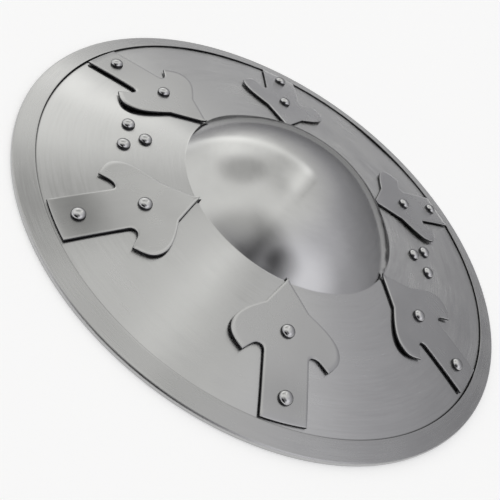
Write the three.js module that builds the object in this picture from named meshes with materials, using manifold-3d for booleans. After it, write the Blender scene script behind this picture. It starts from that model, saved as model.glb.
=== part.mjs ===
// Buckler shield: a dished steel disc with a domed boss, a folded rim band, six riveted straps
// and a forged handle behind the boss.
// Millimetres, +Z up along the boss axis. The shield lies on its rim, so z = 0 is the rim's
// underside and the origin is the centre of that circle. The handle runs along X.

import * as THREE from 'three';
import { mergeVertices } from 'three/addons/utils/BufferGeometryUtils.js';
import Module from 'manifold-3d';

const wasm = await Module();
wasm.setup();

// ---------------------------------------------------------------- driving dimensions

const GAP = 0.3; // clearance between pieces that touch

// Shield body: one sheet, pressed into a shallow dish with a domed boss.
const RIM_RADIUS = 178; // outside of the rim band
const SHEET = 1.2; // thickness of the body sheet
const DISH_SPHERE = 4 * RIM_RADIUS; // radius of the sphere that the dish is part of
const BOSS_RADIUS = 0.435 * RIM_RADIUS; // foot of the boss, where the crease runs
const BOSS_HEIGHT = 0.18 * RIM_RADIUS; // top of the boss above its foot
const BOSS_FILLET = 5; // hollow rounding at the foot of the boss

// Rim band: a strip folded into a U over the edge of the sheet.
const BAND_SHEET = 1.0;
const BAND_WIDTH = 0.07 * RIM_RADIUS; // how far the front flange reaches in
const BACK_FLANGE = 0.8 * BAND_WIDTH; // how far the back flange reaches in
const BAND_CORNER = 1.6; // rounding between the front flange and the outer wall
const FOOT_CORNER = 0.8; // rounding between the outer wall and the flat foot
const FOOT_WIDTH = 2.0; // flat ring that the shield lies on

// Straps: flat plates, measured outwards from the shield's axis and sideways from their own.
const STRAP_SHEET = 1.5;
const STRAP_STAND = 0.5; // the stiff plate doesn't quite lie down on the dish
const STRAP_END = 163.7; // outer end, an arc that follows the rim band
const STRAP_HALF_WIDTH = 14.1; // of the straight part next to the rim
const LOBE_HALF_WIDTH = 34.6; // across the two lobes, the widest place
const STRAP_TIP = [76.4, 0]; // point, just on the foot of the boss
const STRAP_CORNER = [96.3, 14.4]; // where the point widens into the lobe
// The curves that follow the corner, each with two points that pull it and then its end.
const STRAP_CURVES = [
  [[103.5, 26.4], [109.5, LOBE_HALF_WIDTH], [118.0, LOBE_HALF_WIDTH]], // inner side of the lobe
  [[122.8, LOBE_HALF_WIDTH], [126.3, 30.8], [129.6, 27.0]], // outer side, to the barb's tip
  [[125.8, 22.4], [123.3, 20.6], [123.3, 17.6]], // under the barb, into the notch
  [[123.3, 15.4], [124.7, STRAP_HALF_WIDTH], [127.3, STRAP_HALF_WIDTH]], // round the notch's end
];
const OUTER_RIVET = 150.2; // distances of the two rivets from the shield's axis
const INNER_RIVET = 111.5;
// Each strap was fitted by hand: the direction it lies in and its turn about the outer rivet.
const STRAP_FIT = [
  { direction: 210.9, turn: 0 },
  { direction: 150.8, turn: 0 },
  { direction: 91.3, turn: -1.5 },
  { direction: 28.5, turn: 2 },
  { direction: -32.6, turn: -2 },
  { direction: -90.3, turn: 3.8 },
];

// Rivets: domed heads in front, flatter closed ends behind. A profile's points are shares of the
// radius and of the height, from the top to the seat.
const HEAD_RADIUS = 4.3;
const HEAD_HEIGHT = 3.2;
const HEAD_PROFILE = [[0, 1], [0.58, 0.8], [0.9, 0.4], [1, 0]];
const SHANK_RADIUS = 2.2;
const TAIL_RADIUS = 3.8;
const TAIL_HEIGHT = 1.8;
const TAIL_PROFILE = [[0, 1], [0.7, 0.8], [1, 0]];

// Handle: a forged bar, thick in the grip and flat at its two spade-shaped ends.
const HANDLE_OFFSET = new THREE.Vector2(-1.6, -1.0); // its middle, off the shield's axis
const HANDLE_HALF_LENGTH = 124;
const GRIP_HALF_LENGTH = 46;
const GRIP_HALF_WIDTH = 12;
const GRIP_THICKNESS = 13;
const GRIP_TOP = 17; // height of the grip's front face
const HANDLE_ROUNDING = 0.33; // of its long edges, as a share of its thickness
const NECK_DISTANCE = 85; // narrowest place, from the handle's middle
const NECK_HALF_WIDTH = 9;
const SPADE_DISTANCE = 110.5; // widest place of the end
const SPADE_HALF_WIDTH = 17.5;
const SPADE_THICKNESS = 3;
const PAIR_DISTANCE = 113.6; // two outer rivets of each end, from the handle's middle
const PAIR_HALF_SPACING = 10.1;
const SINGLE_DISTANCE = 101.6; // the third rivet, nearer the grip

// How finely the round shapes are faceted.
const RING_SIDES = 60; // round the shield's axis
const RIVET_SIDES = 8; // round a rivet's axis
const CURVE_STEPS = 4; // along each curve of a strap's outline, and along the strap
const DISH_STEPS = 4; // from the rim to the boss
const BOSS_STEPS = 6; // from the foot of the boss to its top, one less on the inside
const ROUNDING_STEPS = 2; // across a fillet or a rounded edge

// Bare steel: brighter where it is polished, duller where it is only ground.
const SHEET_STEEL = { color: 0xa6a8a8, roughness: 0.36 };
const STRAP_STEEL = { color: 0xaeb0af, roughness: 0.34 };
const RIVET_STEEL = { color: 0xa9abab, roughness: 0.28 };
const HANDLE_STEEL = { color: 0x8f9192, roughness: 0.42 };

// ---------------------------------------------------------------- the sheet's surface

// The front surface is three arcs turned about the axis: the dish, the boss, and the hollow fillet
// between them. Every other surface of the shield is the same one, a little deeper or higher.

const FRONT_STACK = GAP + BAND_SHEET;
const BACK_STACK = SHEET + GAP + BAND_SHEET;
const footOuter = RIM_RADIUS - FOOT_CORNER;
const footInner = footOuter - FOOT_WIDTH;
const dishCentre = -Math.sqrt((DISH_SPHERE - BACK_STACK) ** 2 - footInner ** 2);
const creaseHeight = dishCentre + Math.sqrt(DISH_SPHERE ** 2 - BOSS_RADIUS ** 2);
const bossSphere = (BOSS_RADIUS ** 2 + BOSS_HEIGHT ** 2) / (2 * BOSS_HEIGHT);
const bossCentre = creaseHeight + BOSS_HEIGHT - bossSphere;

// Centre of the fillet's arc: one fillet radius outside both spheres.
const dishReach = DISH_SPHERE + BOSS_FILLET;
const bossReach = bossSphere + BOSS_FILLET;
const spheresApart = bossCentre - dishCentre;
const filletRise = (dishReach ** 2 - bossReach ** 2 + spheresApart ** 2) / (2 * spheresApart);
const filletRadius = Math.sqrt(dishReach ** 2 - filletRise ** 2);
const filletCentre = dishCentre + filletRise;

// Radii where the fillet meets the dish and the boss, on the surface `depth` below the front one.
const filletStart = (depth) => filletRadius * (DISH_SPHERE - depth) / dishReach;
const filletEnd = (depth) => filletRadius * (bossSphere - depth) / bossReach;

// Height at radius r of the surface that lies `depth` below the front one.
function surfaceHeight(r, depth) {
  if (r >= filletStart(depth)) {
    return dishCentre + Math.sqrt((DISH_SPHERE - depth) ** 2 - r ** 2);
  }
  if (r <= filletEnd(depth)) {
    return bossCentre + Math.sqrt((bossSphere - depth) ** 2 - r ** 2);
  }
  return filletCentre - Math.sqrt((BOSS_FILLET + depth) ** 2 - (r - filletRadius) ** 2);
}

// Points of that surface for a list of radii.
function surfaceLine(radii, depth) {
  return radii.map((r) => new THREE.Vector2(r, surfaceHeight(r, depth)));
}

// Evenly spaced values from one number to another, both included.
function spread(from, to, steps) {
  return Array.from({ length: steps + 1 }, (_, i) => THREE.MathUtils.lerp(from, to, i / steps));
}

// ---------------------------------------------------------------- solids

// A closed mesh as a manifold solid: shared corners merged, collapsed triangles at an axis dropped.
function toSolid(geometry) {
  const bare = geometry.clone();
  bare.deleteAttribute('normal');
  bare.deleteAttribute('uv');
  const merged = mergeVertices(bare, 1e-4);
  const corners = merged.index.array;
  const kept = [];
  for (let i = 0; i < corners.length; i += 3) {
    const [a, b, c] = [corners[i], corners[i + 1], corners[i + 2]];
    if (a !== b && b !== c && c !== a) kept.push(a, b, c);
  }
  const vertProperties = new Float32Array(merged.attributes.position.array);
  const triVerts = new Uint32Array(kept);
  return new wasm.Manifold(new wasm.Mesh({ numProp: 3, vertProperties, triVerts }));
}

function toGeometry(solid) {
  const mesh = solid.getMesh();
  const geometry = new THREE.BufferGeometry();
  geometry.setAttribute('position', new THREE.BufferAttribute(mesh.vertProperties, 3));
  geometry.setIndex(new THREE.BufferAttribute(mesh.triVerts, 1));
  geometry.computeVertexNormals();
  return geometry;
}

// A profile of (radius, height) points turned about Z.
function turned(points, sides) {
  return new THREE.LatheGeometry(points, sides).rotateX(Math.PI / 2);
}

// A plate with the plan `outline` (X, Y) between two lines of (x, height) points.
function bentPlate(outline, lowerLine, upperLine, halfSpan) {
  const plan = new THREE.ExtrudeGeometry(outline, {
    depth: RIM_RADIUS,
    bevelEnabled: false,
    curveSegments: CURVE_STEPS,
  });
  const side = new THREE.Shape([...lowerLine, ...upperLine.toReversed()]);
  const slab = new THREE.ExtrudeGeometry(side, { depth: 2 * halfSpan, bevelEnabled: false });
  slab.rotateX(Math.PI / 2);
  slab.translate(0, halfSpan, 0);
  return toSolid(slab).intersect(toSolid(plan));
}

// The solid with a rivet hole cut through it at each place, a matrix with Z along the rivet.
function drilled(solid, places) {
  const radius = SHANK_RADIUS + GAP;
  const bit = new THREE.CylinderGeometry(radius, radius, 4 * HEAD_RADIUS, RIVET_SIDES);
  bit.rotateX(Math.PI / 2);
  const cuts = places.map((place) => toSolid(bit.clone().applyMatrix4(place)));
  return cuts.reduce((left, cut) => left.subtract(cut), solid);
}

// ---------------------------------------------------------------- materials and placing

function mesh(name, geometry, steel) {
  const piece = new THREE.Mesh(geometry, new THREE.MeshStandardMaterial({ ...steel, metalness: 1 }));
  piece.name = name;
  return piece;
}

// Stands an object on the dish's front surface, its Z square to that surface.
function placeOnDish(object, x, y) {
  const height = surfaceHeight(Math.hypot(x, y), 0);
  const outwards = new THREE.Vector3(x, y, height - dishCentre).normalize();
  object.position.set(x, y, height);
  object.quaternion.setFromUnitVectors(new THREE.Vector3(0, 0, 1), outwards);
  return object;
}

// ---------------------------------------------------------------- rivets

// One rivet, measured along its own axis: the head stands on `headSeat`, the tail hangs from `tailSeat`.
function rivetGeometry(headSeat, tailSeat) {
  const scaled = (profile, radius, seat, height) => profile.map(
    ([across, along]) => new THREE.Vector2(radius * across, seat + height * along),
  );
  const profile = [
    ...scaled(TAIL_PROFILE, TAIL_RADIUS, tailSeat, -TAIL_HEIGHT),
    new THREE.Vector2(SHANK_RADIUS, tailSeat),
    new THREE.Vector2(SHANK_RADIUS, headSeat),
    ...scaled(HEAD_PROFILE, HEAD_RADIUS, headSeat, HEAD_HEIGHT).reverse(),
  ];
  return turned(profile, RIVET_SIDES);
}

const strapRivet = rivetGeometry(STRAP_STAND + STRAP_SHEET + GAP, -SHEET - GAP);
const handleRivet = rivetGeometry(GAP, -SHEET - SPADE_THICKNESS - 2 * GAP);

// ---------------------------------------------------------------- straps

// The outline of one side runs from the point at the boss to the rim; the other side mirrors it.
function strapOutline() {
  const path = new THREE.Path();
  path.moveTo(...STRAP_TIP);
  path.lineTo(...STRAP_CORNER);
  STRAP_CURVES.forEach((curve) => path.bezierCurveTo(...curve.flat()));
  const oneSide = path.getPoints(CURVE_STEPS);
  const otherSide = oneSide.slice(1).map((p) => new THREE.Vector2(p.x, -p.y)).reverse();
  const endAngle = Math.asin(STRAP_HALF_WIDTH / STRAP_END);
  const end = spread(endAngle, -endAngle, CURVE_STEPS).map(
    (angle) => new THREE.Vector2(STRAP_END * Math.cos(angle), STRAP_END * Math.sin(angle)),
  );
  return new THREE.Shape([...oneSide, ...end, ...otherSide]);
}

// The plate bends only lengthwise, so its lobes stand a little off the dish, as a flat plate's would.
function strapSolid() {
  const foot = filletStart(-STRAP_STAND);
  const radii = [
    ...spread(STRAP_END + 1, foot, CURVE_STEPS),
    ...spread(foot, STRAP_TIP[0] - 1, ROUNDING_STEPS).slice(1),
  ];
  const lower = surfaceLine(radii, -STRAP_STAND);
  const upper = surfaceLine(radii, -STRAP_STAND - STRAP_SHEET);
  return bentPlate(strapOutline(), lower, upper, LOBE_HALF_WIDTH + 1);
}

// A strap with its two rivets, in a group that lies along X until it is turned into its place.
function strapGroup(index, fit, geometry) {
  const number = index + 1;
  const plate = mesh(`strap_${number}`, geometry, STRAP_STEEL);
  const outer = mesh(`strap_${number}_outer_rivet`, strapRivet, RIVET_STEEL);
  const inner = mesh(`strap_${number}_inner_rivet`, strapRivet, RIVET_STEEL);
  placeOnDish(outer, OUTER_RIVET, 0);
  placeOnDish(inner, INNER_RIVET, 0);
  const pieces = new THREE.Group();
  pieces.position.x = -OUTER_RIVET;
  pieces.add(plate, outer, inner);
  const turn = new THREE.Group();
  turn.position.x = OUTER_RIVET;
  turn.rotation.z = THREE.MathUtils.degToRad(fit.turn);
  turn.add(pieces);
  const arm = new THREE.Group();
  arm.rotation.z = THREE.MathUtils.degToRad(fit.direction);
  arm.add(turn);
  return arm;
}

// ---------------------------------------------------------------- rim band

function rimBandGeometry() {
  const inside = RIM_RADIUS - BAND_WIDTH;
  const backInside = RIM_RADIUS - BACK_FLANGE;
  const pocket = RIM_RADIUS - BAND_SHEET;
  const shoulder = RIM_RADIUS - BAND_CORNER;
  const shoulderHeight = surfaceHeight(shoulder, -FRONT_STACK);
  const corner = spread(0, Math.PI / 2, ROUNDING_STEPS).map((angle) => new THREE.Vector2(
    shoulder + BAND_CORNER * Math.sin(angle),
    shoulderHeight - BAND_CORNER * (1 - Math.cos(angle)),
  ));
  const profile = [
    ...surfaceLine([inside], -FRONT_STACK),
    ...corner,
    new THREE.Vector2(RIM_RADIUS, FOOT_CORNER),
    new THREE.Vector2(footOuter, 0),
    new THREE.Vector2(footInner, 0),
    ...surfaceLine([backInside], BACK_STACK),
    ...surfaceLine([backInside, pocket], SHEET + GAP),
    ...surfaceLine([pocket, inside], -GAP),
  ];
  profile.push(profile[0].clone());
  return turned(profile.reverse(), RING_SIDES);
}

// ---------------------------------------------------------------- handle

// Half the handle's width, `distance` from its middle: grip, neck, spade, rounded end.
function handleHalfWidth(distance) {
  const toNeck = THREE.MathUtils.smoothstep(distance, GRIP_HALF_LENGTH, NECK_DISTANCE);
  const toSpade = THREE.MathUtils.smoothstep(distance, NECK_DISTANCE, SPADE_DISTANCE);
  const straight = THREE.MathUtils.lerp(
    THREE.MathUtils.lerp(GRIP_HALF_WIDTH, NECK_HALF_WIDTH, toNeck),
    SPADE_HALF_WIDTH,
    toSpade,
  );
  const past = Math.max(0, distance - SPADE_DISTANCE) / (HANDLE_HALF_LENGTH + 1 - SPADE_DISTANCE);
  return straight * Math.sqrt(1 - past ** 2);
}

// Cross-section at x: a rectangle with rounded corners under the front face's height.
function handleSection(x) {
  const distance = Math.abs(x - HANDLE_OFFSET.x);
  const halfWidth = handleHalfWidth(distance);
  const thin = THREE.MathUtils.smoothstep(distance, GRIP_HALF_LENGTH, NECK_DISTANCE);
  const thickness = THREE.MathUtils.lerp(GRIP_THICKNESS, SPADE_THICKNESS, thin);
  const reach = Math.hypot(x, halfWidth + Math.abs(HANDLE_OFFSET.y));
  const seat = surfaceHeight(Math.max(reach, filletStart(0)), SHEET + GAP);
  const front = THREE.MathUtils.lerp(GRIP_TOP, seat, thin);
  const corner = HANDLE_ROUNDING * Math.min(thickness, halfWidth);
  const points = [];
  for (let quarter = 0; quarter < 4; quarter += 1) {
    const right = quarter === 0 || quarter === 3 ? 1 : -1;
    const up = quarter < 2 ? 1 : -1;
    const from = quarter * Math.PI / 2;
    for (const angle of spread(from, from + Math.PI / 2, ROUNDING_STEPS)) {
      const y = right * (halfWidth - corner) + corner * Math.cos(angle);
      const z = front - thickness / 2 + up * (thickness / 2 - corner) + corner * Math.sin(angle);
      points.push(x, y + HANDLE_OFFSET.y, z);
    }
  }
  return points;
}

// Sections from end to end, joined into one skin and capped. They crowd together at the round ends.
function handleGeometry() {
  const roundEnd = spread(0, Math.PI / 2, CURVE_STEPS).slice(1).map(
    (angle) => THREE.MathUtils.lerp(SPADE_DISTANCE, HANDLE_HALF_LENGTH, Math.sin(angle)),
  );
  const half = [
    GRIP_HALF_LENGTH,
    ...spread(GRIP_HALF_LENGTH, NECK_DISTANCE, CURVE_STEPS).slice(1),
    ...spread(NECK_DISTANCE, SPADE_DISTANCE, CURVE_STEPS).slice(1),
    ...roundEnd,
  ];
  const distances = [...half.map((distance) => -distance).reverse(), 0, ...half];
  const sections = distances.map((distance) => handleSection(distance + HANDLE_OFFSET.x));
  const around = sections[0].length / 3;
  const index = [];
  for (let s = 0; s < sections.length - 1; s += 1) {
    for (let i = 0; i < around; i += 1) {
      const a = s * around + i;
      const b = s * around + (i + 1) % around;
      index.push(a, b, b + around, a, b + around, a + around);
    }
  }
  const last = (sections.length - 1) * around;
  for (let i = 1; i < around - 1; i += 1) {
    index.push(0, i + 1, i, last, last + i, last + i + 1);
  }
  const geometry = new THREE.BufferGeometry();
  geometry.setAttribute('position', new THREE.Float32BufferAttribute(sections.flat(), 3));
  geometry.setIndex(index);
  return geometry;
}

// The three rivets at one end; `side` is -1 for the left end and 1 for the right one.
function handleRivets(name, side) {
  const places = [
    [PAIR_DISTANCE, PAIR_HALF_SPACING],
    [PAIR_DISTANCE, -PAIR_HALF_SPACING],
    [SINGLE_DISTANCE, 0],
  ];
  return places.map(([distance, across], i) => {
    const rivet = mesh(`handle_${name}_rivet_${i + 1}`, handleRivet, RIVET_STEEL);
    return placeOnDish(rivet, HANDLE_OFFSET.x + side * distance, HANDLE_OFFSET.y + across);
  });
}

// ---------------------------------------------------------------- shield body

// The line from the sheet's edge to the top of the boss, on the surface `depth` below the front one.
function sheetLine(depth, bossSteps) {
  const start = filletStart(depth);
  const end = filletEnd(depth);
  const boss = bossSphere - depth;
  const bossAngles = spread(Math.asin(end / boss), 0, bossSteps);
  const radii = [
    ...spread(RIM_RADIUS - BAND_SHEET - GAP, start, DISH_STEPS),
    ...spread(start, end, ROUNDING_STEPS).slice(1),
    ...bossAngles.slice(1).map((angle) => boss * Math.sin(angle)),
  ];
  return surfaceLine(radii, depth);
}

function bodySolid() {
  const inside = sheetLine(SHEET, BOSS_STEPS - 1).reverse();
  return toSolid(turned([...inside, ...sheetLine(0, BOSS_STEPS)], RING_SIDES));
}

// ---------------------------------------------------------------- the whole shield

const shield = new THREE.Group();

const plateBlank = strapSolid();
const holeInStrap = [OUTER_RIVET, INNER_RIVET].map((distance) => {
  const place = placeOnDish(new THREE.Object3D(), distance, 0);
  place.updateMatrix();
  return place.matrix;
});
const plateGeometry = toGeometry(drilled(plateBlank, holeInStrap));
STRAP_FIT.forEach((fit, index) => shield.add(strapGroup(index, fit, plateGeometry)));

const handleEndRivets = [...handleRivets('left', -1), ...handleRivets('right', 1)];
shield.add(...handleEndRivets);

shield.updateMatrixWorld(true);
const handlePlaces = handleEndRivets.map((rivet) => rivet.matrixWorld);
const allPlaces = [];
shield.traverse((object) => {
  if (object.name.includes('rivet')) allPlaces.push(object.matrixWorld);
});

const body = drilled(bodySolid(), allPlaces);
const handle = drilled(toSolid(handleGeometry()), handlePlaces);
shield.add(mesh('shield_body', toGeometry(body), SHEET_STEEL));
shield.add(mesh('rim_band', rimBandGeometry(), SHEET_STEEL));
shield.add(mesh('handle', toGeometry(handle), HANDLE_STEEL));

export default shield;
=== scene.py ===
# %% [markdown]
# # A steel buckler, dressed
# A buckler is a small round shield, held by one fist behind its boss. This one is bare steel: a
# shallow dished disc with a domed boss raised in its middle, a strip folded over its edge, six
# riveted fleur-shaped straps, and a forged grip bar on the back.
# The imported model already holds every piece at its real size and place. This script keeps those
# places and gives each piece its fine shape and its finish. Every shape below is worked out with
# numpy from the same few sizes that the solids were made from, in metres.

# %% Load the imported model
import math

import bpy
import numpy as np
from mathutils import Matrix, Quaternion, Vector


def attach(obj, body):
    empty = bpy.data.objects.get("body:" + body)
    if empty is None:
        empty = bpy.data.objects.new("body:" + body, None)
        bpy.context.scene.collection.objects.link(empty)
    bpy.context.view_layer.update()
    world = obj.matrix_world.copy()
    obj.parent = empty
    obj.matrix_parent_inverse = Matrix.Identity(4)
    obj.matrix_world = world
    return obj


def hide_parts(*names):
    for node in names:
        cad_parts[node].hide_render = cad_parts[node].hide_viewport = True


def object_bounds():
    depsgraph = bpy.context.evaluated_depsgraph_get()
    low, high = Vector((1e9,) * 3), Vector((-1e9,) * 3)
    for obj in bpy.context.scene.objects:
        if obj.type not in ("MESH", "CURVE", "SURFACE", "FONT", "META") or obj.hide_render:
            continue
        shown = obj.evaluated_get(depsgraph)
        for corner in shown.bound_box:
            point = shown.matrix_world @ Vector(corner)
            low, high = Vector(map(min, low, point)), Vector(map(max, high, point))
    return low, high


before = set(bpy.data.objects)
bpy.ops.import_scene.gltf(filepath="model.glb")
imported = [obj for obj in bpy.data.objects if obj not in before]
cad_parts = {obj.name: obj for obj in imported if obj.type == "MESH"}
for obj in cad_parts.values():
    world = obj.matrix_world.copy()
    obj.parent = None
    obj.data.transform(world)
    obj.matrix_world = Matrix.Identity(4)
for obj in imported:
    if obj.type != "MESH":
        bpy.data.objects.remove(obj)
cad_box = [list(corner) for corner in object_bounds()]
print("packed model:", len(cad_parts), "nodes, box", cad_box)

# %% [markdown]
# ## The sizes that drive everything
# The rim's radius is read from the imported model's box, and the other sizes are shares of it or
# plain sheet thicknesses. The same sheet thickness, gaps and seats as in the solids keep every
# fine piece where its solid is.

# %% Driving sizes
MM = 0.001
GAP = 0.3 * MM
RIM_RADIUS = cad_box[1][0]
SHEET = 1.2 * MM
DISH_SPHERE = 4 * RIM_RADIUS
BOSS_RADIUS = 0.435 * RIM_RADIUS
BOSS_HEIGHT = 0.18 * RIM_RADIUS
SOLID_FILLET = 5 * MM
BOSS_FILLET = 1.2 * MM

BAND_SHEET = 1.0 * MM
BAND_WIDTH = 0.07 * RIM_RADIUS
BACK_FLANGE = 0.8 * BAND_WIDTH
BAND_CORNER = 1.6 * MM
FOOT_CORNER = 0.8 * MM
FOOT_WIDTH = 2.0 * MM

STRAP_SHEET = 1.5 * MM
STRAP_STAND = 0.5 * MM
OUTER_RIVET = 150.2 * MM
INNER_RIVET = 111.5 * MM

print("rim %.0f mm across, boss %.1f mm across" % (2 * RIM_RADIUS / MM, 2 * BOSS_RADIUS / MM))

# %% [markdown]
# ## The sheet's surface
# The front of the shield is one surface of revolution: a very flat sphere for the dish, a smaller
# sphere for the boss, and a hollow arc that touches both where the boss rises. Every other surface
# that lies on it, such as the back of the sheet or the underside of a strap, is the same surface a
# little deeper or higher, so one function gives them all.

# %% Height of the sheet
foot_outer = RIM_RADIUS - FOOT_CORNER
foot_inner = foot_outer - FOOT_WIDTH
back_stack = SHEET + GAP + BAND_SHEET
dish_centre = -math.sqrt((DISH_SPHERE - back_stack) ** 2 - foot_inner**2)
crease_height = dish_centre + math.sqrt(DISH_SPHERE**2 - BOSS_RADIUS**2)
boss_sphere = (BOSS_RADIUS**2 + BOSS_HEIGHT**2) / (2 * BOSS_HEIGHT)
boss_centre = crease_height + BOSS_HEIGHT - boss_sphere


def fillet_circle(fillet):
    """Radius and height of the fillet arc's centre: one fillet radius outside both spheres."""
    dish_reach = DISH_SPHERE + fillet
    boss_reach = boss_sphere + fillet
    apart = boss_centre - dish_centre
    rise = (dish_reach**2 - boss_reach**2 + apart**2) / (2 * apart)
    return math.sqrt(dish_reach**2 - rise**2), dish_centre + rise


def fillet_span(depth, fillet):
    """Radii where the arc meets the dish and the boss, on the surface `depth` below the front."""
    radius = fillet_circle(fillet)[0]
    start = radius * (DISH_SPHERE - depth) / (DISH_SPHERE + fillet)
    end = radius * (boss_sphere - depth) / (boss_sphere + fillet)
    return start, end


def sheet_height(r, depth=0.0, fillet=BOSS_FILLET):
    """Height at radius r: the dish's sphere outside, the boss's sphere inside, the arc between."""
    r = np.asarray(r, float)
    start, end = fillet_span(depth, fillet)
    radius, height = fillet_circle(fillet)
    dish = dish_centre + np.sqrt((DISH_SPHERE - depth) ** 2 - r**2)
    boss = boss_centre + np.sqrt(np.maximum((boss_sphere - depth) ** 2 - r**2, 0))
    arc = height - np.sqrt(np.maximum((fillet + depth) ** 2 - (r - radius) ** 2, 0))
    return np.where(r >= start, dish, np.where(r <= end, boss, arc))


print("top of the boss: %.2f mm" % (sheet_height(0.0) / MM))

# %% [markdown]
# ## From a grid of points to a closed mesh
# Each piece is a grid of points: rows run along a profile and columns run around it. The helper
# joins neighbours with quads, closes the two ends with a fan to one middle point, or joins the last
# row to the first, and turns the faces outwards by looking at the sign of the enclosed volume.
# It also keeps a UV map in metres along the two directions of the grid, because a brushed finish
# needs to know which way the brush went.

# %% Grid meshes
SHARP_ANGLE = math.radians(30)


def enclosed_volume(points, faces):
    """Sum of the tetrahedra from the origin to each face, a quad counted as two triangles."""
    a, b, c = (points[faces[:, k]] for k in range(3))
    total = np.einsum("ij,ij->", a, np.cross(b, c))
    if faces.shape[1] == 4:
        total += np.einsum("ij,ij->", a, np.cross(c, points[faces[:, 3]]))
    return total / 6


def grid_piece(name, points, uv, joined=False):
    """A closed mesh from points[row, column], whose columns wrap round.

    The last row joins the first, or each end row closes with a fan to its middle point.
    uv has one more column than points, and one more row too where the rows join."""
    rows, columns = points.shape[:2]
    row = np.arange(rows if joined else rows - 1)[:, None]
    column = np.arange(columns)[None, :]
    next_row, next_column = (row + 1) % rows, (column + 1) % columns
    corners = ((row, column), (row, next_column), (next_row, next_column), (next_row, column))
    quads = np.stack([(r * columns + c).ravel() for r, c in corners], 1)
    quad_uv = np.stack([uv[row, column], uv[row, column + 1],
                        uv[row + 1, column + 1], uv[row + 1, column]], 2).reshape(-1, 4, 2)
    vertices = points.reshape(-1, 3)
    fans, fan_uv = np.zeros((0, 3), int), np.zeros((0, 3, 2))
    if not joined:
        c, d = column.ravel(), next_column.ravel()
        last = (rows - 1) * columns
        top, bottom = len(vertices), len(vertices) + 1
        fans = np.concatenate([np.stack([np.full(columns, top), d, c], 1),
                               np.stack([np.full(columns, bottom), last + c, last + d], 1)])
        middle = (uv[:, :-1] + uv[:, 1:]) / 2
        fan_uv = np.concatenate([np.stack([middle[0], uv[0, 1:], uv[0, :-1]], 1),
                                 np.stack([middle[-1], uv[-1, :-1], uv[-1, 1:]], 1)])
        vertices = np.concatenate([vertices, [points[0].mean(0), points[-1].mean(0)]])
    if enclosed_volume(vertices, quads) + enclosed_volume(vertices, fans) < 0:
        quads, quad_uv = quads[:, ::-1], quad_uv[:, ::-1]
        fans, fan_uv = fans[:, ::-1], fan_uv[:, ::-1]
    mesh = bpy.data.meshes.new(name)
    mesh.from_pydata(vertices.tolist(), [], quads.tolist() + fans.tolist())
    layer = mesh.uv_layers.new(name="brush")
    layer.data.foreach_set("uv", np.concatenate([quad_uv.ravel(), fan_uv.ravel()]))
    mesh.shade_smooth()
    mesh.set_sharp_from_angle(angle=SHARP_ANGLE)
    piece = bpy.data.objects.new(name, mesh)
    bpy.context.scene.collection.objects.link(piece)
    print("%-24s %6d triangles" % (name, 2 * len(quads) + len(fans)))
    return piece


def turned(profile, columns):
    """Points and uv of a (radius, height) profile turned about Z: (r cos a, r sin a, z).

    uv is the arc's length at the widest radius, and the length along the profile."""
    angle = np.linspace(0, 2 * math.pi, columns + 1)
    r, z = profile[:, :1], profile[:, 1:]
    around = angle[None, :-1]
    points = np.stack([r * np.cos(around), r * np.sin(around), z + 0 * around], -1)
    length = np.concatenate([[0], np.cumsum(np.linalg.norm(np.diff(profile, axis=0), axis=1))])
    uv = np.stack(np.meshgrid(angle * r.max(), length), -1)
    return points, uv


def dark_scale_and_shade_rows(piece, points, rows):
    """Gives the piece two slots, and slot 1, of dark scale and painted shade, to these rows' quads."""
    columns = points.shape[1]
    index = np.zeros(len(piece.data.polygons), np.int32)
    for row in rows:
        index[row * columns:(row + 1) * columns] = 1
    for _ in range(2):
        piece.data.materials.append(None)
    piece.data.polygons.foreach_set("material_index", index)


def stands_for(piece, nodes):
    """Puts the piece on the part's one body, in place of its solids."""
    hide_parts(*nodes)
    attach(piece, "root")
    return piece


# %% [markdown]
# ## The disc
# A real buckler's disc is spun or hammered from one sheet, so its back follows its front. It could
# be made with a Solidify modifier, but here both faces come from the height function, one sheet
# thickness apart, and a hand-worked sheet's slight waviness is added to both alike. The waves are a
# few hundredths of a millimetre high: too little to see in the outline, enough to bend a reflection.
# Where the boss was raised, the sheet also stretched into one short crease beside its foot.

# %% Disc
AROUND = 432


def ease(value, start, end):
    """0 before start, 1 after end, and 3t2 - 2t3 between."""
    t = np.clip((value - start) / (end - start), 0, 1)
    return t * t * (3 - 2 * t)


def hand_waves(x, y, height=0.045 * MM, waves=9):
    """Sum of sine waves of random direction and 45 to 120 mm length."""
    random = np.random.default_rng(5)
    total = np.zeros(np.broadcast(x, y).shape)
    for _ in range(waves):
        length = random.uniform(45, 120) * MM
        direction, shift = random.uniform(0, 2 * math.pi, 2)
        phase = (x * math.cos(direction) + y * math.sin(direction)) * 2 * math.pi / length
        total += height * np.sin(phase + shift)
    return total


def stretch_crease(x, y, height=0.3 * MM, width=1.3 * MM):
    """A bell curve across, and a wide bell along, a short arc just outside the foot of the boss."""
    angle = np.arctan2(y, x)
    across = (np.hypot(x, y) - BOSS_RADIUS - (3.2 + 5 * angle) * MM) / width
    return height * np.exp(-across**2 - ((angle + 0.05) / 0.3) ** 2)


def sheet_radii(depth, dish_steps, fillet_steps, boss_steps):
    """Radii from the sheet's edge to near the axis, closer together in the fillet."""
    start, end = fillet_span(depth, BOSS_FILLET)
    edge = RIM_RADIUS - BAND_SHEET - GAP
    return np.concatenate([
        np.linspace(edge, start, dish_steps, endpoint=False),
        np.linspace(start, end, fillet_steps, endpoint=False),
        np.linspace(end, 0.3 * MM, boss_steps),
    ])


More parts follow.
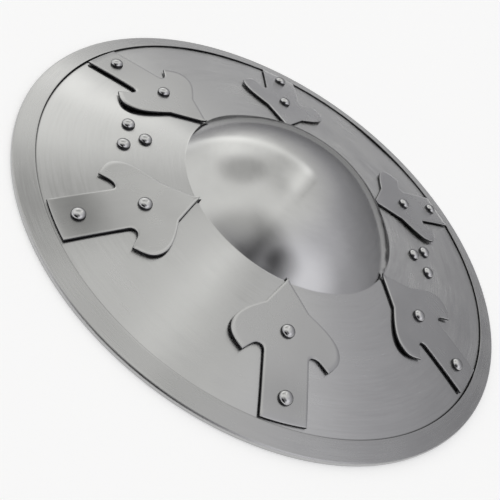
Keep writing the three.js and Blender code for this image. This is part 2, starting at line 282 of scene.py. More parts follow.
def make_disc():
    """Front profile from the axis out, back profile to the axis, turned, then waved and creased."""
    front = sheet_radii(0.0, 50, 9, 46)
    back = sheet_radii(SHEET, 24, 7, 24)
    profile = np.concatenate([
        np.stack([front, sheet_height(front)], 1)[::-1],
        np.stack([back, sheet_height(back, SHEET)], 1),
    ])
    points, uv = turned(profile, AROUND)
    x, y = points[..., 0], points[..., 1]
    points[..., 2] += hand_waves(x, y) * ease(np.hypot(x, y), 0, 0.6 * BOSS_RADIUS)
    points[..., 2] += stretch_crease(x, y)
    return stands_for(grid_piece("disc", points, uv), ["shield_body"])


disc = make_disc()

# %% [markdown]
# ## The rim band
# The band is a strip folded into a U over the sheet's edge. Its profile is one closed line: along
# the front flange, round a soft shoulder, down the outer wall to the narrow foot that the shield
# lies on, back along the short rear flange, and round the pocket that holds the sheet. Turned about
# the axis, that line is the whole band. The cut edge of the front flange has a tiny bevel, which
# catches the light all the way round, over a wall painted dark: dark scale, and painted shade
# where the wall and the gap beside it lie in shadow.

# %% Rim band
def arc(centre, radius, start, end, steps):
    """Points on a circle between two angles in degrees, both included."""
    angle = np.radians(np.linspace(start, end, steps))
    return np.stack([centre[0] + radius * np.cos(angle), centre[1] + radius * np.sin(angle)], 1)


def on_sheet(radii, depth):
    """Profile points at these radii, `depth` below the sheet's front."""
    return np.stack([radii, sheet_height(radii, depth)], 1)


def make_rim_band():
    """The U-shaped profile, one closed line, turned about the axis."""
    inside = RIM_RADIUS - BAND_WIDTH
    back_inside = RIM_RADIUS - BACK_FLANGE
    pocket = RIM_RADIUS - BAND_SHEET
    shoulder = RIM_RADIUS - BAND_CORNER
    top = GAP + BAND_SHEET
    bevel = 0.3 * MM
    lip = float(sheet_height(inside, -top))
    profile = np.concatenate([
        [[inside, lip - bevel], [inside + 0.4 * bevel, lip - 0.3 * bevel]],
        on_sheet(np.linspace(inside + bevel, shoulder, 12), -top),
        arc((shoulder, float(sheet_height(shoulder, -top)) - BAND_CORNER), BAND_CORNER, 78, 0, 8),
        arc((foot_outer, FOOT_CORNER), FOOT_CORNER, 0, -90, 5),
        [[foot_inner, 0.0]],
        on_sheet(np.linspace(foot_inner - 0.5 * MM, back_inside, 5), back_stack),
        on_sheet(np.linspace(back_inside, pocket, 4), SHEET + GAP),
        on_sheet(np.linspace(pocket, inside, 7), -GAP),
    ])
    points, uv = turned(profile, AROUND)
    uv = np.concatenate([uv, uv[-1:] + [0, BAND_SHEET]])
    piece = grid_piece("folded_rim", points, uv, joined=True)
    # The flange's inner wall takes the dark finish: dark scale and painted shade.
    dark_scale_and_shade_rows(piece, points, [len(profile) - 1])
    return stands_for(piece, ["rim_band"])


rim = make_rim_band()

# %% [markdown]
# ## The straps
# Each strap is cut from plate to the outline of a stylised leaf: a point at the boss, two lobes
# with barbs, and a straight tail to the rim. The outline is a few straight lines and Bezier curves,
# mirrored about the strap's middle line. Every point of it can be seen from one place inside, so
# the plate is a polar grid: rings that shrink from the outline to that place. Two narrow rings at
# the edge make the bevel that a file leaves, and the cut wall under them is painted dark: partly
# the dark scale of sawn steel, partly painted shade where the wall and the gap under it lie in
# shadow. The plate bends lengthwise with the dish and stays flat across, so its lobes stand a
# little proud, which gives the dark gap under them.

# %% Strap outline
TIP = np.array([76.4, 0.0]) * MM
CORNER = np.array([96.3, 14.4]) * MM
NARROW = 14.1
WIDE = 34.6
STRAP_END = 163.7 * MM
LEAF_CURVES = np.array([
    [[103.5, 26.4], [109.5, WIDE], [118.0, WIDE]],
    [[122.8, WIDE], [126.3, 30.8], [129.6, 27.0]],
    [[125.8, 22.4], [123.3, 20.6], [123.3, 17.6]],
    [[123.3, 15.4], [124.7, NARROW], [127.3, NARROW]],
]) * MM
CURVE_POINTS = (26, 12, 12, 10)
STRAIGHT_POINTS = (14, 20)
END_POINTS = 17


def bezier(start, pulls, steps):
    """Cubic curve: the three control lines blended by the powers of t and 1 - t."""
    t = np.linspace(0, 1, steps + 1)[1:, None]
    return ((1 - t) ** 3 * start + 3 * t * (1 - t) ** 2 * pulls[0]
            + 3 * t**2 * (1 - t) * pulls[1] + t**3 * pulls[2])


def straight(start, end, steps):
    """Evenly spaced points from start, which is left out, to end."""
    return np.linspace(start, end, steps + 1)[1:]


def strap_outline():
    """One side from the point to the rim end, then the other side mirrored, back to the point."""
    line = [TIP[None], straight(TIP, CORNER, STRAIGHT_POINTS[0])]
    for pulls, steps in zip(LEAF_CURVES, CURVE_POINTS):
        line.append(bezier(line[-1][-1], pulls, steps))
    half = math.asin(NARROW * MM / STRAP_END)
    end_angle = np.linspace(half, -half, END_POINTS)
    end = STRAP_END * np.stack([np.cos(end_angle), np.sin(end_angle)], 1)
    line.append(straight(line[-1][-1], end[0], STRAIGHT_POINTS[1]))
    side = np.concatenate(line)
    return np.concatenate([side, end[1:-1], side[:0:-1] * [1, -1]])


def edge_normals(edges):
    """Each edge turned a quarter to its left, at length 1."""
    return np.stack([-edges[:, 1], edges[:, 0]], 1) / np.linalg.norm(edges, axis=1)[:, None]


def inset(outline, distance, sharpest=0.35):
    """The outline moved inwards: each corner slides along the middle of its two edges' normals.

    `sharpest` keeps a sharp corner from sliding too far."""
    following = np.roll(outline, -1, 0)
    both = edge_normals(outline - np.roll(outline, 1, 0)) + edge_normals(following - outline)
    both /= np.maximum((both**2).sum(1, keepdims=True) / 2, sharpest)
    area = np.sum(outline[:, 0] * following[:, 1] - outline[:, 1] * following[:, 0])
    return outline + both * distance * np.sign(area)


print("strap outline:", len(strap_outline()), "points")

# %% [markdown]
# ## Hand fitting
# The six straps were set by hand, so each lies in its own direction and leans a little. The same
# angles as in the solids are used: the direction from the shield's axis, and a turn about the
# outer rivet. Some straps are darker than others, and round the outer rivet some carry a painted
# reflection, a soft dark patch where a dark shade would show in the plate. Each mesh keeps that in
# an attribute of its own, `tone_and_reflection`, as a share of the light that is lost: the first number of
# its pair all over, and the second more at the outer rivet. The brush marks follow the UV map, so each
# strap's map starts in another place, and no two have the same clouds.

# %% Straps
STRAP_FIT = [(210.9, 0), (150.8, 0), (91.3, -1.5), (28.5, 2), (-32.6, -2), (-90.3, 3.8)]
# Per strap: darker tone all over, then a painted reflection of a dark shade at the outer rivet.
TONE_AND_PAINTED_REFLECTION = [(0, 0.4), (0.12, 0.08), (0, 0), (0, 0), (0, 0), (0.03, 0.14)]
PAINTED_REFLECTION_LENGTH = 15 * MM
PAINTED_REFLECTION_WIDTH = 26 * MM
UV_STEP = 0.5
STRAP_RINGS = 15
STRAP_MIDDLE = np.array([104.5, 0.0]) * MM
BACK_EDGE = 0.12 * MM
FRONT_BEVEL = 0.55 * MM


def turn(points, degrees):
    """Points turned about the Z axis."""
    c, s = math.cos(math.radians(degrees)), math.sin(math.radians(degrees))
    x, y, z = points[..., 0], points[..., 1], points[..., 2]
    return np.stack([c * x - s * y, s * x + c * y, z], -1)


def fitted(points, fit):
    """From a strap lying along X to its place: the turn about the outer rivet, then the direction."""
    direction, lean = fit
    pivot = np.array([OUTER_RIVET, 0, 0])
    return turn(turn(points - pivot, lean) + pivot, direction)


def strap_grid():
    """Rings from the middle of the back, out and round the edge, to the middle of the front."""
    outline = strap_outline()
    under = -STRAP_STAND
    over = under - STRAP_SHEET
    shrink = np.linspace(0.03, 1, STRAP_RINGS)[:, None, None]
    back = STRAP_MIDDLE + (inset(outline, BACK_EDGE) - STRAP_MIDDLE) * shrink
    front = STRAP_MIDDLE + (inset(outline, FRONT_BEVEL) - STRAP_MIDDLE) * shrink[::-1]
    rims = [(outline, under - 0.8 * BACK_EDGE), (outline, over + 0.8 * FRONT_BEVEL),
            (inset(outline, 0.25 * FRONT_BEVEL), over + 0.3 * FRONT_BEVEL)]
    plan = np.concatenate([back, [line for line, _ in rims], front])
    depth = np.concatenate([np.full(STRAP_RINGS, under), [d for _, d in rims],
                            np.full(STRAP_RINGS, over)])
    height = np.stack([sheet_height(np.abs(p[:, 0]), d, SOLID_FILLET) for p, d in zip(plan, depth)])
    return np.concatenate([plan, height[..., None]], -1)


def mark_tone_and_reflection(piece, grid, whole, patch):
    """Keeps how much darker each point is: `whole` all over, and `patch` more near the outer rivet."""
    x, y = grid[..., 0], grid[..., 1]
    near = np.exp(-((x - OUTER_RIVET) / PAINTED_REFLECTION_LENGTH) ** 2 - (y / PAINTED_REFLECTION_WIDTH) ** 2)
    darker = np.concatenate([(whole + patch * near).ravel(), [whole, whole]])
    piece.data.attributes.new("tone_and_reflection", "FLOAT", "POINT").data.foreach_set("value", darker)


def make_strap(number, fit, grid):
    """One strap in its place, with its UV map along and across it, and its cut wall marked."""
    uv = np.concatenate([grid[..., :2], grid[:, :1, :2]], 1) + [number * UV_STEP, 0]
    piece = grid_piece(f"leaf_strap_{number}", fitted(grid, fit), uv)
    mark_tone_and_reflection(piece, grid, *TONE_AND_PAINTED_REFLECTION[number - 1])
    # The cut wall takes the dark finish: dark scale and painted shade.
    dark_scale_and_shade_rows(piece, grid, [STRAP_RINGS - 1, STRAP_RINGS])
    return stands_for(piece, [f"strap_{number}"])


leaf = strap_grid()
straps = [make_strap(i + 1, fit, leaf) for i, fit in enumerate(STRAP_FIT)]

# %% [markdown]
# ## The rivets
# A rivet is a short pin with a domed head in front, and behind it the tail that was hammered into
# a flatter button. The head's outline is a rounded arc that steepens towards its rim, with a tiny
# flat on top where the setting tool pressed. It is turned about the rivet's own axis, which stands
# square to the dish. No two are quite alike, so each head is a few hundredths narrower or lower.
# The lowest rows of the head are painted dark: painted shade, the contact shadow where a rivet
# meets the plate.

# %% Rivets
HEAD_RADIUS = 4.3 * MM
HEAD_HEIGHT = 3.2 * MM
SHANK_RADIUS = 2.2 * MM
TAIL_RADIUS = 3.8 * MM
TAIL_HEIGHT = 1.8 * MM
HEAD_ROWS = 15
# Painted shade: the head's lowest rows, painted as the contact shadow on the plate.
CONTACT_SHADE_ROWS = range(HEAD_ROWS - 3, HEAD_ROWS)
TAIL_STEPS = 8
RIVET_COLUMNS = 40


def dome(radius, height, seat, steps, flat=0.12, roundness=0.7):
    """Half an outline: radius times cos a, height times sin a to a power, cut flat on top."""
    angle = np.linspace(math.acos(flat), 0, steps)
    rise = np.sin(angle) ** roundness
    top = [[0.02 * radius, seat + 0.985 * height]]
    return np.concatenate([top, np.stack([radius * np.cos(angle), seat + height * rise], 1)])


def rivet_grid(head_seat, tail_seat, wide, tall):
    """Head, shank and tail as one profile turned about Z, the seats as heights over the dish."""
    head = dome(HEAD_RADIUS * wide, HEAD_HEIGHT * tall + GAP, head_seat, HEAD_ROWS - 1)
    tail = dome(TAIL_RADIUS, -TAIL_HEIGHT - GAP, tail_seat, TAIL_STEPS)
    shank = [[SHANK_RADIUS, head_seat], [SHANK_RADIUS, tail_seat]]
    return turned(np.concatenate([head, shank, tail[::-1]]), RIVET_COLUMNS)


def on_dish(points, x, y):
    """Stands points on the dish's front surface at (x, y), their Z square to the surface."""
    height = float(sheet_height(math.hypot(x, y)))
    up = Vector((x, y, height - dish_centre)).normalized()
    lean = np.array(Vector((0, 0, 1)).rotation_difference(up).to_matrix())
    return points @ lean.T + [x, y, height]


def make_rivet(name, x, y, solid, head_seat, tail_seat, random):
    """One rivet at (x, y), a little narrower and lower than the largest."""
    points, uv = rivet_grid(head_seat, tail_seat, *random.uniform(0.965, 1.0, 2))
    piece = grid_piece(name, on_dish(points, x, y), uv)
    # Painted contact shadow on the head's lowest rows.
    dark_scale_and_shade_rows(piece, points, CONTACT_SHADE_ROWS)
    return stands_for(piece, [solid])


def strap_rivets():
    """Two for each strap, which turn and lean with it."""
    random = np.random.default_rng(11)
    made = []
    for number, fit in enumerate(STRAP_FIT, 1):
        for word, distance in (("outer", OUTER_RIVET), ("inner", INNER_RIVET)):
            x, y, _ = fitted(np.array([distance, 0.0, 0.0]), fit)
            made.append(make_rivet(f"{word}_rivet_of_strap_{number}", x, y,
                                   f"strap_{number}_{word}_rivet",
                                   STRAP_STAND + STRAP_SHEET, -SHEET, random))
    return made


HANDLE_MIDDLE = np.array([-1.6, -1.0]) * MM
SPADE_SHEET = 3 * MM
END_RIVETS = np.array([[113.6, 10.1], [113.6, -10.1], [101.6, 0.0]]) * MM


def handle_rivets():
    """Three at each end of the grip, mirrored about its middle."""
    random = np.random.default_rng(12)
    made = []
    for word, side in (("left", -1), ("right", 1)):
        for number, place in enumerate(END_RIVETS, 1):
            x, y = HANDLE_MIDDLE + place * [side, 1]
            made.append(make_rivet(f"{word}_grip_rivet_{number}", x, y,
                                   f"handle_{word}_rivet_{number}",
                                   0.0, -SHEET - GAP - SPADE_SHEET, random))
    return made


rivets = strap_rivets() + handle_rivets()

# %% [markdown]
# ## The grip
# The grip is one forged bar. It is thick and rounded where the fist closes on it, narrows to a neck
# on each side, and spreads into two thin spades that are riveted under the sheet. It is a loft: at
# each place along it stands a rounded rectangle, whose width, thickness and height are smooth
# functions of the distance from the middle.

# %% Grip
HANDLE_HALF_LENGTH = 124 * MM
GRIP_HALF_LENGTH = 46 * MM
GRIP_HALF_WIDTH = 12 * MM
GRIP_THICKNESS = 13 * MM
GRIP_TOP = 17 * MM
NECK_DISTANCE = 85 * MM
NECK_HALF_WIDTH = 9 * MM
SPADE_DISTANCE = 110.5 * MM
SPADE_HALF_WIDTH = 17.5 * MM
GRIP_COLUMNS = 56
GIRTH = 80 * MM
GRIP_SQUARENESS = 3.4
SPADE_SQUARENESS = 6.4


def grip_half_width(distance):
    """Grip, then neck, then spade, times a quarter ellipse at the rounded end."""
    width = GRIP_HALF_WIDTH + (NECK_HALF_WIDTH - GRIP_HALF_WIDTH) * ease(
        distance, GRIP_HALF_LENGTH, NECK_DISTANCE)
    width += (SPADE_HALF_WIDTH - width) * ease(distance, NECK_DISTANCE, SPADE_DISTANCE)
    past = np.clip((distance - SPADE_DISTANCE) / (HANDLE_HALF_LENGTH - SPADE_DISTANCE), 0, 1)
    return width * np.sqrt(np.maximum(1 - past**2, 0.0004))


def make_grip():
    """Rounded rectangles along X: cos and sin of the angle, to the power 2 over the squareness.

    The height of the front face goes from level, at the grip, to the back of the sheet."""
    round_end = np.sin(np.linspace(0.08, math.pi / 2, 16))
    half = np.concatenate([np.linspace(0, SPADE_DISTANCE, 70),
                           SPADE_DISTANCE + (HANDLE_HALF_LENGTH - SPADE_DISTANCE) * round_end])
    x = (np.concatenate([-half[:0:-1], half]) + HANDLE_MIDDLE[0])[:, None]
    distance = np.abs(x - HANDLE_MIDDLE[0])
    width = grip_half_width(distance)
    thin = ease(distance, GRIP_HALF_LENGTH, NECK_DISTANCE)
    thickness = GRIP_THICKNESS + (SPADE_SHEET - GRIP_THICKNESS) * thin
    reach = np.hypot(x, width + abs(HANDLE_MIDDLE[1]))
    seat = sheet_height(np.maximum(reach, fillet_span(0.0, SOLID_FILLET)[0]), SHEET + GAP / 2)
    front = GRIP_TOP + (seat - GRIP_TOP) * thin
    angle = np.linspace(0, 2 * math.pi, GRIP_COLUMNS + 1)[None, :-1]
    squared = 2.0 / (GRIP_SQUARENESS + (SPADE_SQUARENESS - GRIP_SQUARENESS) * thin)
    across = np.sign(np.cos(angle)) * np.abs(np.cos(angle)) ** squared
    upward = np.sign(np.sin(angle)) * np.abs(np.sin(angle)) ** squared
    y = HANDLE_MIDDLE[1] + width * across
    z = front - thickness / 2 + thickness / 2 * upward
    points = np.stack([x + 0 * y, y, z], -1)
    uv = np.stack(np.broadcast_arrays(x, np.linspace(0, GIRTH, GRIP_COLUMNS + 1)[None, :]), -1)
    return stands_for(grid_piece("grip_bar", points, uv), ["handle"])


grip = make_grip()

# %% [markdown]
# ## Brush marks
# Steel that was brushed shows fine lines the way the brush went, slight bands where it pressed
# harder, and soft clouds where hands touched it. One node group makes all three. The lines and
# bands are noise that is stretched along the brushing and squeezed across it. In the ring form the
# brush went round the axis, so the noise reads the direction from the axis, which has no seam, and
# the distance to it. In the straight form it went along the piece's first coordinate.

# %% Node helpers
def node(tree, kind, **settings):
    """Adds a node with these settings."""
    made = tree.nodes.new(kind)
    for key, value in settings.items():
        setattr(made, key, value)
    return made


def feed(tree, socket, value):
    """Sets a socket to a number, or links it to another socket."""
    if isinstance(value, (int, float)):
        socket.default_value = value
    else:
        tree.links.new(value, socket)


def math_node(tree, operation, a, b=0.0):
    """The output of a Math node whose inputs are sockets or numbers."""
    made = node(tree, "ShaderNodeMath", operation=operation)
    for socket, value in zip(made.inputs, (a, b)):
        feed(tree, socket, value)
    return made.outputs[0]


def add(tree, first, *others):
    """Sum of sockets and numbers."""
    for other in others:
        first = math_node(tree, "ADD", first, other)
    return first


def times(tree, a, b):
    """Product of two sockets or numbers."""
    return math_node(tree, "MULTIPLY", a, b)


def combine(tree, *numbers):
    """A vector from three sockets or numbers."""
    made = node(tree, "ShaderNodeCombineXYZ")
    for socket, value in zip(made.inputs, numbers):
        feed(tree, socket, value)
    return made.outputs[0]


def dimmed(tree, colour, share):
    """The colour times one number."""
    made = node(tree, "ShaderNodeVectorMath", operation="SCALE")
    tree.links.new(colour, made.inputs[0])
    feed(tree, made.inputs["Scale"], share)
    return made.outputs[0]


def noise(tree, vector, scale, detail, roughness):
    """Noise between about -0.5 and 0.5."""
    made = node(tree, "ShaderNodeTexNoise")
    made.inputs["Scale"].default_value = scale
    made.inputs["Detail"].default_value = detail
    made.inputs["Roughness"].default_value = roughness
    tree.links.new(vector, made.inputs["Vector"])
    return math_node(tree, "SUBTRACT", made.outputs["Fac"], 0.5)


# %% Brush mark groups
# Waves in a metre across the brushing, then round the ring or in a metre along the piece.
LINES_ACROSS, BANDS_ACROSS = 900.0, 140.0
LINES_ROUND, BANDS_ROUND = 5.0, 1.6
LINES_ALONG, BANDS_ALONG = 30.0, 12.0
CLOUDS = 26.0

# How much each kind of mark changes the steel's tone and its roughness.
TONE_OF = {"lines": 0.10, "bands": 0.06, "clouds": 0.07}
BLUR_OF = {"lines": 0.10, "bands": 0.05, "clouds": 0.10}
CLOUD_HEIGHT = 0.3

GROUP_INPUTS = (
    ("Place", "NodeSocketVector"), ("Steel", "NodeSocketColor"), ("Smoothness", "NodeSocketFloat"),
    ("Line Strength", "NodeSocketFloat"), ("Cloud Strength", "NodeSocketFloat"),
)
GROUP_OUTPUTS = (
    ("Color", "NodeSocketColor"), ("Roughness", "NodeSocketFloat"), ("Height", "NodeSocketFloat"),
)


def ring_place(tree, x, y, z, around, across):
    """Direction from the axis times `around`, and distance from the axis plus z times `across`."""
    radius = math_node(tree, "SQRT", add(tree, times(tree, x, x), times(tree, y, y)))
    not_zero = math_node(tree, "MAXIMUM", radius, 0.0005)
    return combine(tree, times(tree, math_node(tree, "DIVIDE", x, not_zero), around),
                   times(tree, math_node(tree, "DIVIDE", y, not_zero), around),
                   times(tree, add(tree, radius, z), across))


def straight_place(tree, x, y, z, along, across):
    """x times `along`, y and z times `across`."""
    return combine(tree, times(tree, x, along), times(tree, y, across), times(tree, z, across))


def brushing_group(name, place, lines_along, bands_along):
    """Node group: steel colour, roughness and groove height from a place on the object."""
    tree = bpy.data.node_groups.new(name, "ShaderNodeTree")
    for sockets, way in ((GROUP_INPUTS, "INPUT"), (GROUP_OUTPUTS, "OUTPUT")):
        for label, kind in sockets:
            tree.interface.new_socket(label, in_out=way, socket_type=kind)
    given = node(tree, "NodeGroupInput").outputs
    result = node(tree, "NodeGroupOutput").inputs
    parts = node(tree, "ShaderNodeSeparateXYZ")
    tree.links.new(given["Place"], parts.inputs[0])
    x, y, z = parts.outputs
    lines = noise(tree, place(tree, x, y, z, lines_along, LINES_ACROSS), 1.0, 3.0, 0.6)
    bands = noise(tree, place(tree, x, y, z, bands_along, BANDS_ACROSS), 1.0, 2.0, 0.5)
    clouds = noise(tree, given["Place"], CLOUDS, 3.0, 0.55)
    marks = {"lines": times(tree, lines, given["Line Strength"]),
             "bands": times(tree, bands, given["Line Strength"]),
             "clouds": times(tree, clouds, given["Cloud Strength"])}
    tone = add(tree, 1.0, *(times(tree, marks[kind], gain) for kind, gain in TONE_OF.items()))
    blur = add(tree, given["Smoothness"],
               *(times(tree, marks[kind], gain) for kind, gain in BLUR_OF.items()))
    height = add(tree, marks["lines"], times(tree, marks["clouds"], CLOUD_HEIGHT))
    tree.links.new(dimmed(tree, given["Steel"], tone), result["Color"])
    tree.links.new(blur, result["Roughness"])
    tree.links.new(height, result["Height"])
    return tree


ring_brushing = brushing_group("ring_brushing", ring_place, LINES_ROUND, BANDS_ROUND)
straight_brushing = brushing_group("straight_brushing", straight_place, LINES_ALONG, BANDS_ALONG)
print("brush mark groups:", ring_brushing.name, straight_brushing.name)

# %% [markdown]
# ## Steel finishes
# All the pieces are bare steel, so all the finishes are metals: base colour is what a metal
# reflects. They differ in how far the surface blurs a reflection and in which direction. Grooves
# that run round the axis blur it across them, along the radius, which draws every light as a bright
# fan from the middle to the rim. That is what anisotropy does, and the UV map gives its direction.
# Two places are darker than the rest: a line of dirt and painted shade in the corner where the rim
# band's edge meets the dish, and straps darker in tone, with a painted reflection round a rivet.

# %% Steel materials
QUARTER_TURN = 0.25
# Dirt and painted shade: a dark line on the dish where the rim band's edge meets it.
SEAM_LINE = (RIM_RADIUS - BAND_WIDTH - 1.3 * MM, RIM_RADIUS - BAND_WIDTH - 0.2 * MM)
SEAM_DARKEST = 0.12


def seam_dirt_and_shade(tree, colour):
    """The colour, darker in a line where the rim band's edge begins: dirt and painted shade there."""
    flat = node(tree, "ShaderNodeVectorMath", operation="MULTIPLY")
    flat.inputs[1].default_value = (1, 1, 0)
    tree.links.new(node(tree, "ShaderNodeTexCoord").outputs["Object"], flat.inputs[0])
    radius = node(tree, "ShaderNodeVectorMath", operation="LENGTH")
    tree.links.new(flat.outputs[0], radius.inputs[0])
    line = node(tree, "ShaderNodeMapRange", interpolation_type="SMOOTHSTEP")
    line.inputs["From Min"].default_value = SEAM_LINE[0]
    line.inputs["From Max"].default_value = SEAM_LINE[1]
    line.inputs["To Min"].default_value = 1.0
    line.inputs["To Max"].default_value = SEAM_DARKEST
    tree.links.new(radius.outputs["Value"], line.inputs["Value"])
    return dimmed(tree, colour, line.outputs[0])


def tone_and_reflection_patch(tree, colour):
    """The colour, darker by the piece's own attribute: a darker tone and a painted reflection."""
    tone_and_reflection = node(tree, "ShaderNodeAttribute", attribute_name="tone_and_reflection")
    return dimmed(tree, colour, math_node(tree, "SUBTRACT", 1.0, tone_and_reflection.outputs["Fac"]))


def steel(name, colour, roughness, lines, clouds, groove, group=straight_brushing,
          anisotropy=0.0, glance=0.85, darken=None):
    """A Principled metal whose colour, roughness and grooves come from the brushing group.

    lines and clouds are the strengths of the marks, and groove their depth in metres.
    glance is how much of the light it still reflects where it is seen nearly along its surface.
    darken is a function that adds the nodes of a darker place to the colour."""
    material = bpy.data.materials.new(name)
    material.use_nodes = True
    tree = material.node_tree
    shader = tree.nodes["Principled BSDF"].inputs
    shader["Metallic"].default_value = 1.0
    shader["Anisotropic"].default_value = anisotropy
    shader["Anisotropic Rotation"].default_value = QUARTER_TURN
    shader["Specular Tint"].default_value = (glance, glance, glance, 1)
    marks = node(tree, "ShaderNodeGroup", node_tree=group)
    marks.inputs["Steel"].default_value = (*colour, 1)
    marks.inputs["Smoothness"].default_value = roughness
    marks.inputs["Line Strength"].default_value = lines
    marks.inputs["Cloud Strength"].default_value = clouds
    place = node(tree, "ShaderNodeTexCoord").outputs["Object" if group is ring_brushing else "UV"]
    tree.links.new(place, marks.inputs["Place"])
    shade = marks.outputs["Color"]
    if darken:
        shade = darken(tree, shade)
    tree.links.new(shade, shader["Base Color"])
    tree.links.new(marks.outputs["Roughness"], shader["Roughness"])
    grooves = node(tree, "ShaderNodeBump")
    grooves.inputs["Strength"].default_value = 1.0
    grooves.inputs["Distance"].default_value = groove
    tree.links.new(marks.outputs["Height"], grooves.inputs["Height"])
    tree.links.new(grooves.outputs["Normal"], shader["Normal"])
    if anisotropy:
        way = node(tree, "ShaderNodeTangent", direction_type="UV_MAP", uv_map="brush")
        tree.links.new(way.outputs["Tangent"], shader["Tangent"])
    return material


dish_steel = steel("brushed_dish", (0.60, 0.60, 0.60), roughness=0.22, lines=1.7, clouds=2.2,
                   groove=0.01 * MM, group=ring_brushing, anisotropy=1.0, darken=seam_dirt_and_shade)
boss_steel = steel("satin_boss", (0.60, 0.60, 0.60), roughness=0.15, lines=1.0, clouds=2.4,
                   groove=0.004 * MM, group=ring_brushing, glance=0.3)
rim_steel = steel("brushed_rim", (0.51, 0.51, 0.51), roughness=0.26, lines=1.7, clouds=2.0,
                  groove=0.01 * MM, anisotropy=0.9, glance=1.0)
strap_steel = steel("satin_plate", (0.57, 0.57, 0.57), roughness=0.26, lines=0.4, clouds=2.4,
                    groove=0.001 * MM, darken=tone_and_reflection_patch)
rivet_steel = steel("polished_rivet", (0.62, 0.62, 0.625), roughness=0.09, lines=0.2, clouds=1.0,
                    groove=0.001 * MM, glance=0.15)
# Dark finish: dark scale of sawn walls, painted shade on walls and gaps, painted contact shadow on rivets.
scale_and_shade_steel = steel("dark_scale_and_painted_shade", (0.07, 0.07, 0.075), roughness=0.5, lines=1.0, clouds=1.5,
                  groove=0.03 * MM)
grip_steel = steel("forged_grip", (0.48, 0.48, 0.48), roughness=0.38, lines=1.0, clouds=1.5,
                   groove=0.05 * MM)
print("finishes:", ", ".join(material.name for material in bpy.data.materials))

# %% [markdown]
# ## Which finish goes where
# The disc has two finishes on one sheet: the dish is brushed in rings, and the boss is smoother.
# They part where the boss begins, above the hollow arc. The straps, the rim and the rivets have
# one finish and a dark one: dark scale and painted shade on the cut walls, and a painted contact
# shadow on the lowest rows of each rivet head. The grip is as it was forged.

# %% Assign finishes
def dress_disc():
    """The dish's steel all over, and the boss's steel within the inner end of the hollow arc."""
    disc.data.materials.append(dish_steel)
    disc.data.materials.append(boss_steel)
    centres = np.zeros(len(disc.data.polygons) * 3)
    disc.data.polygons.foreach_get("center", centres)
    radius = np.hypot(centres[0::3], centres[1::3])
    on_boss = radius < fillet_span(0.0, BOSS_FILLET)[1]
    disc.data.polygons.foreach_set("material_index", on_boss.astype(np.int32))


dress_disc()
grip.data.materials.append(grip_steel)
for pieces, finish in ((straps, strap_steel), ([rim], rim_steel), (rivets, rivet_steel)):
    for piece in pieces:
        piece.data.materials[0] = finish
        # Slot 1 is the dark finish: dark scale and painted shade, or painted contact shadow on rivets.
        piece.data.materials[1] = scale_and_shade_steel
print("dressed pieces:", 2 + len(straps) + 1 + len(rivets))

# %% [markdown]
# ## The studio
# A plain pale floor, a camera that looks down on the shield as it lies, and soft light. Bare steel
# shows nothing but its surroundings, so the light is shaped like a studio's: a grey room with one
# very large soft panel high on the left, a window behind the camera, and dark places over and
# round the camera. The floor glows a little, as white paper does that is lit from all sides.

# %% Floor
FLOOR_SIZE = 40 * RIM_RADIUS


def make_floor():
    """One square far wider than the view, in matt pale paper."""
    size = FLOOR_SIZE
    corners = [(-size, -size, 0), (size, -size, 0), (size, size, 0), (-size, size, 0)]
    mesh = bpy.data.meshes.new("floor")
    mesh.from_pydata(corners, [], [(0, 1, 2, 3)])
    floor = bpy.data.objects.new("floor", mesh)
    bpy.context.scene.collection.objects.link(floor)
    paper = bpy.data.materials.new("pale_paper")
    paper.use_nodes = True
    shader = paper.node_tree.nodes["Principled BSDF"].inputs
    shader["Base Color"].default_value = (0.85, 0.85, 0.85, 1)
    shader["Roughness"].default_value = 0.9
    shader["Emission Color"].default_value = (1, 1, 1, 1)
    shader["Emission Strength"].default_value = 0.42
    mesh.materials.append(paper)
    return floor


floor = make_floor()
print("floor: %.1f m wide" % (2 * FLOOR_SIZE))

# %% Surrounding light
def direction(azimuth, elevation):
    """Unit vector towards a place in the room: azimuth from +X towards +Y, elevation above it."""
    a, e = math.radians(azimuth), math.radians(elevation)
    return (math.cos(a) * math.cos(e), math.sin(a) * math.cos(e), math.sin(e))


# Every soft area is one or more circles on the sky, and it lies where all its circles overlap.
# A circle is the azimuth and elevation of its middle, and the angles where its soft edge starts
# and ends. A circle of about 90 degrees has a straight edge. The number after the name is the
# light that the area adds or takes away.
ROOM_GREY = 0.45
DARKEST = 0.02
COOL_ROOM = (0.99, 0.985, 1.02, 1)
WARM_PANEL = (1.01, 1.01, 0.98, 1)
LOW_EDGE = (215, 45, 87, 92)
RIGHT_EDGE = (155, 0, 87, 92.5)
SOFT_AREAS = [
    ("large panel on the left", 0.31, [(130, 54, 32, 64)]),
    ("panel, up to its straight edges", 0.50, [LOW_EDGE, RIGHT_EDGE]),
    ("panel, less bright inside its low edge", -0.38, [(215, 45, 80, 87), RIGHT_EDGE]),
    ("panel, less bright inside its right edge", -0.22,
     [(155, 0, 80, 87.5), LOW_EDGE, (65, 45, 25, 40)]),
    ("panel, lit strip by its right edge", 0.20, [RIGHT_EDGE, (65, 57, 4, 16)]),
    ("panel, brighter low end", 0.27, [(106, 30, 0, 21)]),
    ("shade on the panel", -0.35, [(126, 50, 2, 17)]),
    ("gap beside the panel", -0.20, [(155, 0, 93, 95), (335, 0, 86, 88), (65, 60, 6, 18)]),
    ("ceiling", 0.14, [(333, 62, 0, 38)]),
    ("dark place over the camera", -0.48, [(239, 47, 24, 43)]),
    ("lamp head", -0.32, [(289, 55, 0, 16)]),
    ("bright patch over the camera", 0.14, [(202, 57, 11, 20)]),
    ("window behind the camera", 0.45, [(295, 37, 0, 45)]),
    ("dark far corner", -0.12, [(27, 9, 0, 38)]),
    ("dark room behind the camera", -0.40, [(246, 0, 15, 50)]),
]


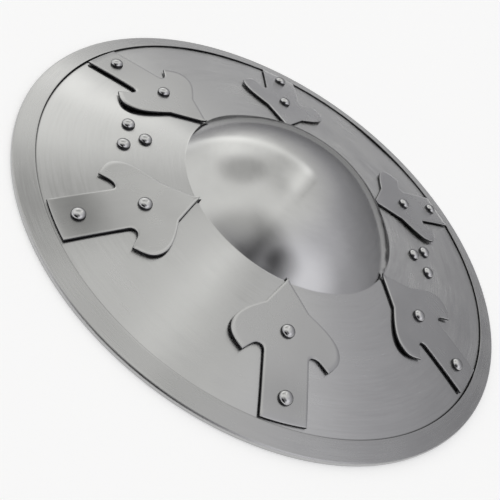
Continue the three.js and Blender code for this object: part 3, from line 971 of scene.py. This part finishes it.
def sky_circle(tree, towards, azimuth, elevation, inner, outer):
    """1 inside the circle and 0 outside, from the cosine of the angle to its middle."""
    facing = node(tree, "ShaderNodeVectorMath", operation="DOT_PRODUCT")
    tree.links.new(towards, facing.inputs[0])
    facing.inputs[1].default_value = direction(azimuth, elevation)
    edge = node(tree, "ShaderNodeMapRange", interpolation_type="SMOOTHSTEP")
    tree.links.new(facing.outputs["Value"], edge.inputs["Value"])
    edge.inputs["From Min"].default_value = math.cos(math.radians(outer))
    edge.inputs["From Max"].default_value = math.cos(math.radians(inner))
    return edge.outputs[0]


def make_room_light():
    """The room's grey plus each area's light times its circles, cool in the room and warm in the panel."""
    world = bpy.data.worlds.new("studio")
    world.use_nodes = True
    bpy.context.scene.world = world
    tree = world.node_tree
    towards = node(tree, "ShaderNodeTexCoord").outputs["Generated"]
    total = ROOM_GREY
    for _, light, circles in SOFT_AREAS:
        part = light
        for circle in circles:
            part = times(tree, sky_circle(tree, towards, *circle), part)
        total = add(tree, part, total)
    strength = math_node(tree, "MAXIMUM", total, DARKEST)
    tint = node(tree, "ShaderNodeMix", data_type="RGBA")
    tint.inputs["A"].default_value = COOL_ROOM
    tint.inputs["B"].default_value = WARM_PANEL
    warmth = sky_circle(tree, towards, *SOFT_AREAS[0][2][0])
    tree.links.new(warmth, tint.inputs["Factor"])
    background = tree.nodes["Background"]
    tree.links.new(tint.outputs["Result"], background.inputs["Color"])
    tree.links.new(strength, background.inputs["Strength"])
    return world


studio = make_room_light()
print("soft areas:", len(SOFT_AREAS))

# %% [markdown]
# ## The camera
# It stands at the height of a person who looks down at a table, a little left of the middle, and
# it is rolled, so that the disc leans across the view.

# %% Camera
CAMERA_PLACE = Vector((-0.17051, -0.37779, 0.29946))
CAMERA_AIM = Vector((-0.02957, -0.06293, 0.020))
CAMERA_ROLL = 37.56
CAMERA_LENS = 54.45


def make_camera():
    """Looks from its place to its aim, then rolls about that line."""
    data = bpy.data.cameras.new("camera")
    data.lens, data.sensor_width = CAMERA_LENS, 36
    data.clip_start, data.clip_end = 0.01, 50
    camera = bpy.data.objects.new("camera", data)
    bpy.context.scene.collection.objects.link(camera)
    look = (CAMERA_AIM - CAMERA_PLACE).to_track_quat("-Z", "Y")
    camera.rotation_mode = "QUATERNION"
    camera.rotation_quaternion = look @ Quaternion((0, 0, 1), math.radians(CAMERA_ROLL))
    camera.location = CAMERA_PLACE
    bpy.context.scene.camera = camera


make_camera()
bpy.context.scene.view_settings.view_transform = "Standard"
print("camera: %.2f m from its aim" % (CAMERA_AIM - CAMERA_PLACE).length)
